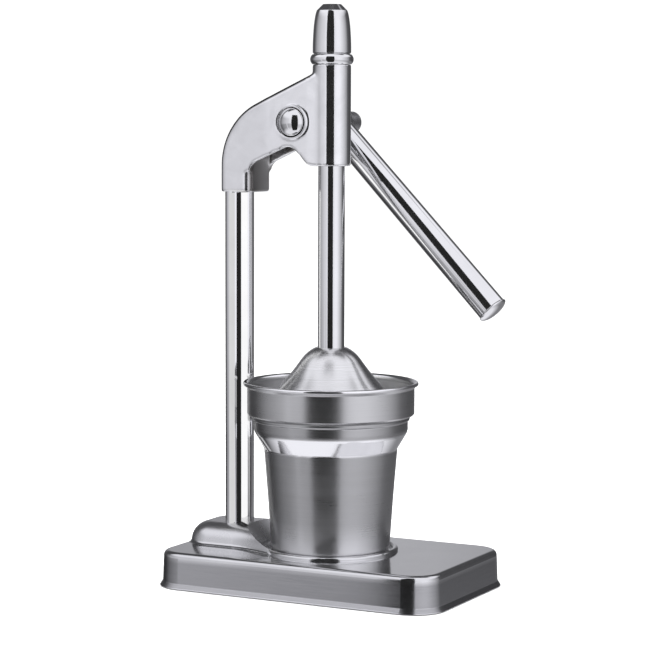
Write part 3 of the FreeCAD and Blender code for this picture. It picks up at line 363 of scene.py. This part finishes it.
# raw casting inside the arch, its colour darkened as painted shade
RAW_SHADED_TONES = ((0.22, 0.21, 0.20), (0.32, 0.31, 0.30))
RAW_SWING = (0.35, 0.7)
RAW_ROUGHNESS = 0.2
TUBE_REAR = (-0.0135, -0.0150)
TUBE_POLISH = (-0.0140, -0.0110, 1.0, 0.45)    # two places, and the share of roughness at each
# painted dark reflection along the top arrises behind the tube
RIM_DIRECTION = (-0.5, 0.0, 0.87)
RIM_FACING = (0.15, 0.35)
RIM_REFLECTION_TONES = (grey(0.10), grey(0.16))
ARRIS_FACING = (0.20, 0.45)
BLOCK_FRONT = (-0.0500, -0.0540)           # front face of the block over the columns, which carries a painted shade
BLOCK_SIDES = (-0.016, 0.014)
BLOCK_FACING = (0.6, 0.9)
# painted shade on the block's front face: dark on the -Y side, pale on the +Y side
BLOCK_SHADE_TONES = [(0.0, (0.20, 0.19, 0.18)), (1.0, (0.95, 0.94, 0.93))]
CAST_SWIRL = 55.0
CAST_WAVE = 14.0
CAST_SAND = 900.0
CAST_TONES = (grey(0.76, 0.01), grey(0.88, 0.01))
CAST_ROUGHNESS = (0.18, 0.26)
# worn arrises of the casting, brightened as painted highlight
CAST_EDGE_REACH = 1.2 * MM
CAST_WORN_HIGHLIGHT = grey(0.96, 0.01)
WAVE_SHARE, SAND_SHARE = 0.8, 0.5
CAST_BUMP = (0.08, 1.0 * MM)


def casting(name):
    """Aluminium casting: polished cheeks and tube, worn edges with painted highlight, a painted
    dark reflection on the top arrises, painted shade on the block front, raw arch darkened by
    painted shade.
    """
    s = Shader(name)
    side, along = s.axis("Y"), s.axis("X")
    raw = s.product(s.step(s.calc("ABSOLUTE", side), *CHEEK_INSIDE),
                    s.step(along, *ARCH_REAR), s.step(along, *ARCH_FRONT))
    swirl = s.noise(CAST_SWIRL, detail=5.0, distortion=1.2)
    wave = s.noise(CAST_WAVE, detail=2.0)
    sand = s.noise(CAST_SAND, detail=3.0)
    # worn edges brightened as painted highlight
    rubbed_highlit = s.mix(s.worn_highlit_edge(CAST_EDGE_REACH), s.tones(swirl, *CAST_TONES), CAST_WORN_HIGHLIGHT)
    # the raw arch darkened as painted shade
    colour = s.mix(raw, rubbed_highlit, s.tones(sand, *RAW_SHADED_TONES, RAW_SWING))
    arris = s.product(s.facing_sides(*ARRIS_FACING), s.opposite(s.facing_sides(*CHEEK_FACING)))
    # painted dark reflection along the top arrises
    rim_reflection = s.product(s.facing(RIM_DIRECTION, *RIM_FACING), arris, s.step(along, *TUBE_REAR))
    colour = s.mix(rim_reflection, colour, s.tones(swirl, *RIM_REFLECTION_TONES))
    # painted shade on the front of the block
    front = s.product(s.facing((1, 0, 0), *BLOCK_FACING), s.step(along, *BLOCK_FRONT))
    colour = s.mix(front, colour, s.ramp(s.step(side, *BLOCK_SIDES), BLOCK_SHADE_TONES))
    polish = s.product(s.follow(swirl, *CAST_ROUGHNESS), s.remap(along, *TUBE_POLISH))
    s.set(metallic=1.0, colour=colour, roughness=s.total(polish, s.product(raw, RAW_ROUGHNESS)))
    s.bump(s.total(s.product(wave, WAVE_SHARE), s.product(sand, raw, SAND_SHARE)), *CAST_BUMP)
    return s.material


BELL_RINGS = (14, 14, 1500)
BELL_WIPE = 30.0
BELL_TONES = (grey(0.72), grey(0.85, 0.006))
BELL_ROUGHNESS = (0.17, 0.25)
RING_ROUGHNESS = (0.0, 0.05)
BELL_BUMP = (0.06, 0.15 * MM)


def spun(name):
    """Spun steel bell: lightly polished with faint turning rings."""
    s = Shader(name)
    rings = s.noise(stretch=BELL_RINGS, rough=0.65)
    wipe = s.noise(BELL_WIPE, detail=5.0)
    s.set(metallic=1.0, colour=s.tones(rings, *BELL_TONES),
          roughness=s.total(s.follow(wipe, *BELL_ROUGHNESS), s.follow(rings, *RING_ROUGHNESS)))
    s.turned(SPIN)
    s.bump(rings, *BELL_BUMP)
    return s.material


TOOL_MARKS = 300.0
TOOL_BUMP = (0.08, 0.2 * MM)


def plain_metal(name, low, high, roughness):
    """Machined or plated fixings: mottled tone and fine tool marks."""
    s = Shader(name)
    marks = s.noise(TOOL_MARKS)
    s.set(metallic=1.0, colour=s.tones(marks, low, high), roughness=s.follow(marks, *roughness))
    s.bump(marks, *TOOL_BUMP)
    return s.material


DUST_SCALE = 120.0
DUST_TONES = (grey(0.018, 0.001), grey(0.06))
DUST_SWING = (0.35, 0.8)
DUST_ROUGHNESS = (0.7, 0.9)
PEBBLE_SCALE = 1600.0
PEBBLE_BUMP = (0.25, 0.3 * MM)


def rubber(name):
    """Black rubber, dusty and pebbled."""
    s = Shader(name)
    dust = s.noise(DUST_SCALE, detail=6.0)
    s.set(colour=s.tones(dust, *DUST_TONES, DUST_SWING),
          roughness=s.follow(dust, *DUST_ROUGHNESS))
    s.bump(s.noise(PEBBLE_SCALE, detail=2.0), *PEBBLE_BUMP)
    return s.material


MATERIALS = {
    "polished_steel": base_steel("base_polish"),
    "zinc_steel": plain_metal("zinc_plate", (0.50, 0.51, 0.52), (0.66, 0.67, 0.68), (0.32, 0.46)),
    "rubber_pad": rubber("black_rubber"),
    "chrome_bar": chrome("chrome_columns", grain=DRAWN_UPRIGHT),
    "polished_casting": casting("cast_aluminium"),
    "bronze": plain_metal("oiled_bronze", (0.10, 0.085, 0.07), (0.17, 0.14, 0.11), (0.28, 0.42)),
    "gear_steel": plain_metal("machined_steel", grey(0.34, 0.01), grey(0.48, 0.01), (0.24, 0.38)),
    "chrome_trim": chrome("chrome_fittings", tone=0.78),
    "brushed_nut": plain_metal("turned_nut", grey(0.60, 0.01), grey(0.74, 0.01), (0.24, 0.38)),
    "chrome_lever": chrome("chrome_lever", grain=DRAWN_LEVER),
    "chrome_ram": chrome("chrome_ram", grain=DRAWN_UPRIGHT),
    "satin_bell": spun("spun_bell"),
    "brushed_bowl": brushed("brushed_bowl", tone=0.64, polished=BOWL_RIM),
    "brushed_cup": brushed("brushed_cup", tone=0.50, polished=CUP_SHOULDER),
}

for entry in frame["record"]["subparts"]:
    for material_slot in NODES[entry["node"]].material_slots:
        material_slot.material = MATERIALS[entry["material_slot"]]


# ---------------------------------------------------------------- pieces
CAST_VOXEL = 0.8 * MM
CAST_SMOOTHING = 16                        # passes, each moving a point half way

LEVER_DROP = math.radians(46.2)
LEVER_ROOT = (-24.85 * MM, 52.0 * MM, 335.8 * MM)
LEVER_TUBE_END = 185.5                     # millimetres from the root
PLUG_SIDES = 72
# distance past the end of the tube and radius, in millimetres
PLUG_PROFILE = [(-11.8, 8.9), (0.0, 8.9), (0.02, 10.7), (0.3, 11.2), (0.8, 11.5), (1.4, 11.3),
                (1.8, 10.8), (2.4, 10.0), (3.0, 8.8), (3.5, 7.2), (3.9, 5.2), (4.15, 3.0),
                (4.25, 0.8), (4.26, 0.1)]


def evaluated_copy(name, mesh, modifiers):
    """A new smooth object whose mesh is the given one with the modifiers applied."""
    raw = add_object(name + "_raw", mesh)
    for kind, settings in modifiers:
        modifier = raw.modifiers.new(kind, kind)
        for key, value in settings.items():
            setattr(modifier, key, value)
    evaluated = raw.evaluated_get(bpy.context.evaluated_depsgraph_get())
    shape = bpy.data.meshes.new_from_object(evaluated)
    bpy.data.objects.remove(raw)
    shape.name = name
    shape.shade_smooth()
    return add_object(name, shape)


def soft_casting():
    """Head casting with the rounded arrises and fillets that casting and polishing leave."""
    steps = (("REMESH", {"mode": "VOXEL", "voxel_size": CAST_VOXEL}),
             ("SMOOTH", {"factor": 0.5, "iterations": CAST_SMOOTHING}))
    body = evaluated_copy("head_cast_body", NODES["head_casting"].data.copy(), steps)
    body.data.materials.clear()
    body.data.materials.append(MATERIALS["polished_casting"])
    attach(body, "stand")
    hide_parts("head_casting")


def turned_piece(name, profile, origin, direction, sides):
    """Closed surface turned round a line; the profile lists (distance along, radius)."""
    forward = Vector(direction).normalized()
    side = forward.orthogonal().normalized()
    up = forward.cross(side)
    angles = [2.0 * math.pi * index / sides for index in range(sides)]
    build = bmesh.new()
    rings = []
    for distance, radius in profile:
        centre = Vector(origin) + forward * distance
        rings.append([build.verts.new(centre + radius * (math.cos(t) * side + math.sin(t) * up))
                      for t in angles])
    for first, second in zip(rings, rings[1:]):
        for index in range(sides):
            after = (index + 1) % sides
            build.faces.new((first[index], first[after], second[after], second[index]))
    build.faces.new(list(reversed(rings[0])))
    build.faces.new(rings[-1])
    bmesh.ops.recalc_face_normals(build, faces=build.faces)
    mesh = mesh_from(name, build)
    mesh.shade_smooth()
    return add_object(name, mesh)


def domed_plug():
    """Pressed plug in the end of the lever: a small lip round a low dome."""
    direction = (math.cos(LEVER_DROP), 0.0, -math.sin(LEVER_DROP))
    profile = [((LEVER_TUBE_END + along) * MM, radius * MM) for along, radius in PLUG_PROFILE]
    plug = turned_piece("lever_plug_dome", profile, LEVER_ROOT, direction, PLUG_SIDES)
    plug.data.materials.append(MATERIALS["chrome_lever"])
    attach(plug, "lever")
    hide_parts("lever_end_plug")


soft_casting()
domed_plug()


# ---------------------------------------------------------------- studio
def camera():
    azimuth, pitch, roll = map(math.radians, (CAMERA_AZIMUTH, CAMERA_PITCH, CAMERA_ROLL))
    back = Vector((math.sin(azimuth) * math.cos(pitch), -math.cos(azimuth) * math.cos(pitch),
                   math.sin(pitch)))
    level_right = Vector((math.cos(azimuth), math.sin(azimuth), 0.0))
    level_up = back.cross(level_right)
    right = math.cos(roll) * level_right + math.sin(roll) * level_up
    up = math.cos(roll) * level_up - math.sin(roll) * level_right
    data = bpy.data.cameras.new("camera")
    data.lens = CAMERA_LENS
    data.sensor_width = CAMERA_SENSOR
    data.clip_start = CAMERA_NEAR
    placed = add_object("camera", data)
    turn = Matrix((right, up, back)).transposed().to_4x4()
    placed.matrix_world = Matrix.Translation(CAMERA_PLACE) @ turn
    bpy.context.scene.camera = placed


# The studio is a dome and a few cards that only reflections show. A bearing is the direction seen
# from above: 0 is toward the camera, positive to its right, 180 straight behind the press.
WALL_TONES = [(-180, 0.50), (-172, 0.36), (-150, 0.10), (-128, 0.08), (-114, 0.22), (-98, 0.46),
              (-66, 0.74), (-46, 0.84), (-37, 0.98), (20, 0.98), (34, 1.08), (50, 1.05),
              (66, 0.85), (84, 0.60), (98, 0.36), (109, 0.12), (134, 0.07), (160, 0.10),
              (176, 0.50), (180, 0.50)]
DOME_RADIUS = 3.0
DOME_SEGMENTS = (96, 48)
STUDIO_TINT = (0.98, 0.98, 1.035)
ROOF_TONE, ROOF_START = 1.05, (24.0, 38.0)
REAR_ROOF_TONE, REAR_ROOF_START = 0.08, (16.0, 28.0)
FLOOR_TONE, FLOOR_START = 0.95, (-26.0, -44.0)
LEFT_DIM_START, LEFT_DIM = (1.0, -6.0), 0.38
LEFT_GAP, LEFT_GAP_EDGES = -60.5, (2.5, 4.5)       # a window that the left side's dimming skips
RIGHT_DIM_START, RIGHT_DIM, RIGHT_DIM_TONE = (-4.0, -12.0), 0.45, 0.42
REAR_RIGHT = (126.0, 142.0)
REAR_LEFT = (-106.0, -120.0)
OVERHEAD_START = (55.0, 65.0)
PAST_PRESS = (-0.03, 0.04)                         # shares of the radius, away from the camera

# name, its two ends in plan, its lowest and highest point, tone
COLUMN_CARD_HEIGHTS = (0.04, 0.2845)
CARDS = (
    ("front_flag", (0.1753, -0.2045), (-0.0200, -0.2709), (-0.055, 0.62), 0.02),
    ("near_pale_card", (-0.0600, -0.023), (-0.080, -0.023), COLUMN_CARD_HEIGHTS, 0.82),
    ("near_dark_card", (-0.0718, -0.0046), (-0.0600, -0.0150), COLUMN_CARD_HEIGHTS, 0.02),
    ("far_pale_card", (-0.0520, -0.0116), (-0.0820, 0.0), COLUMN_CARD_HEIGHTS, 1.2),
)

FLOOR_HALF = 12.0
FLOOR_CELLS = 12
LAMP_HEIGHT, LAMP_SIZE, LAMP_WATTS = 2.2, 2.4, 60.0
WORLD_STRENGTH = 1.1


def only_in_reflections(made):
    made.visible_camera = False
    made.visible_diffuse = False
    made.visible_shadow = False
    made.visible_transmission = False


def studio_dome():
    """Round light tent whose tone changes with bearing and elevation."""
    build = bmesh.new()
    across, up = DOME_SEGMENTS
    bmesh.ops.create_uvsphere(build, u_segments=across, v_segments=up, radius=DOME_RADIUS)
    mesh = mesh_from("studio_dome", build)
    s = Shader("studio_dome")
    turned = s.add("ShaderNodeMapping")
    turned.inputs["Rotation"].default_value = (0.0, 0.0, math.radians(-CAMERA_AZIMUTH))
    turned.inputs["Scale"].default_value = (1 / DOME_RADIUS,) * 3
    s.link(s.coords, turned.inputs["Vector"])
    right, away, height = (s.axis(name, turned.outputs["Vector"]) for name in "XYZ")
    degrees = math.degrees(1.0)
    bearing = s.product(s.calc("ARCTAN2", right, s.product(away, -1.0)), degrees)
    elevation = s.product(s.calc("ARCSINE", height), degrees)

    turn = s.total(s.calc("DIVIDE", bearing, 360.0), 0.5)
    tone = s.ramp(turn, [(0.5 + place / 360.0, grey(value)) for place, value in WALL_TONES])
    left = s.calc("LESS_THAN", bearing, 0.0)
    right_dim = s.product(s.step(elevation, *RIGHT_DIM_START, RIGHT_DIM), s.opposite(left))
    tone = s.mix(right_dim, tone, grey(RIGHT_DIM_TONE))
    from_gap = s.calc("ABSOLUTE", s.total(bearing, -LEFT_GAP))
    left_dim = s.product(s.step(elevation, *LEFT_DIM_START, LEFT_DIM), left,
                         s.step(from_gap, *LEFT_GAP_EDGES))
    tone = s.mix(left_dim, tone, grey(0.0))

    overhead = s.product(s.step(away, *PAST_PRESS), s.step(elevation, *OVERHEAD_START))
    rear = s.either(s.step(bearing, *REAR_RIGHT), s.step(bearing, *REAR_LEFT))
    behind = s.either(overhead, rear)
    roof = s.product(s.step(elevation, *ROOF_START), s.opposite(behind))
    tone = s.mix(roof, tone, grey(ROOF_TONE))
    tone = s.mix(s.product(behind, s.step(elevation, *REAR_ROOF_START)), tone, grey(REAR_ROOF_TONE))
    tone = s.mix(s.step(elevation, *FLOOR_START), tone, grey(FLOOR_TONE))

    tinted = s.add("ShaderNodeVectorMath", operation="MULTIPLY")
    s.link(tone, tinted.inputs[0])
    tinted.inputs[1].default_value = STUDIO_TINT
    glow = s.add("ShaderNodeEmission")
    s.link(tinted.outputs["Vector"], glow.inputs["Color"])
    s.show(glow.outputs["Emission"])
    mesh.materials.append(s.material)
    only_in_reflections(add_object("studio_dome", mesh))


def card(name, end_a, end_b, heights, tone):
    """Upright card that glows on its face and isn't there from its back."""
    (xa, ya), (xb, yb), (low, high) = end_a, end_b, heights
    corners = [(xa, ya, low), (xb, yb, low), (xb, yb, high), (xa, ya, high)]
    mesh = bpy.data.meshes.new(name)
    mesh.from_pydata(corners, [], [(0, 1, 2, 3)])
    s = Shader(name)
    glow = s.add("ShaderNodeEmission")
    glow.inputs["Color"].default_value = (*grey(tone), 1.0)
    choice = s.add("ShaderNodeMixShader")
    s.link(s.add("ShaderNodeNewGeometry").outputs["Backfacing"], choice.inputs[0])
    s.link(glow.outputs["Emission"], choice.inputs[1])
    s.link(s.add("ShaderNodeBsdfTransparent").outputs["BSDF"], choice.inputs[2])
    s.show(choice.outputs["Shader"])
    mesh.materials.append(s.material)
    only_in_reflections(add_object(name, mesh))


def floor():
    """Wide pale floor, which reflections leave out."""
    build = bmesh.new()
    bmesh.ops.create_grid(build, x_segments=FLOOR_CELLS, y_segments=FLOOR_CELLS, size=FLOOR_HALF)
    made = add_object("floor", mesh_from("floor", build))
    made.visible_glossy = False
    s = Shader("pale_floor")
    s.set(colour=grey(0.95), roughness=1.0)
    made.data.materials.append(s.material)


def overhead_lamp():
    """Broad soft light from above, which reflections leave out."""
    data = bpy.data.lights.new("overhead", "AREA")
    data.shape = "DISK"
    data.size = LAMP_SIZE
    data.energy = LAMP_WATTS
    made = add_object("overhead", data)
    made.location = (0.0, 0.0, LAMP_HEIGHT)
    made.visible_glossy = False


world = bpy.data.worlds.new("studio")
world.use_nodes = True
background = world.node_tree.nodes["Background"]
background.inputs["Color"].default_value = (*grey(1.0), 1.0)
background.inputs["Strength"].default_value = WORLD_STRENGTH
bpy.context.scene.world = world
bpy.context.scene.view_settings.view_transform = "Standard"

floor()
camera()
studio_dome()
overhead_lamp()
for settings in CARDS:
    card(*settings)
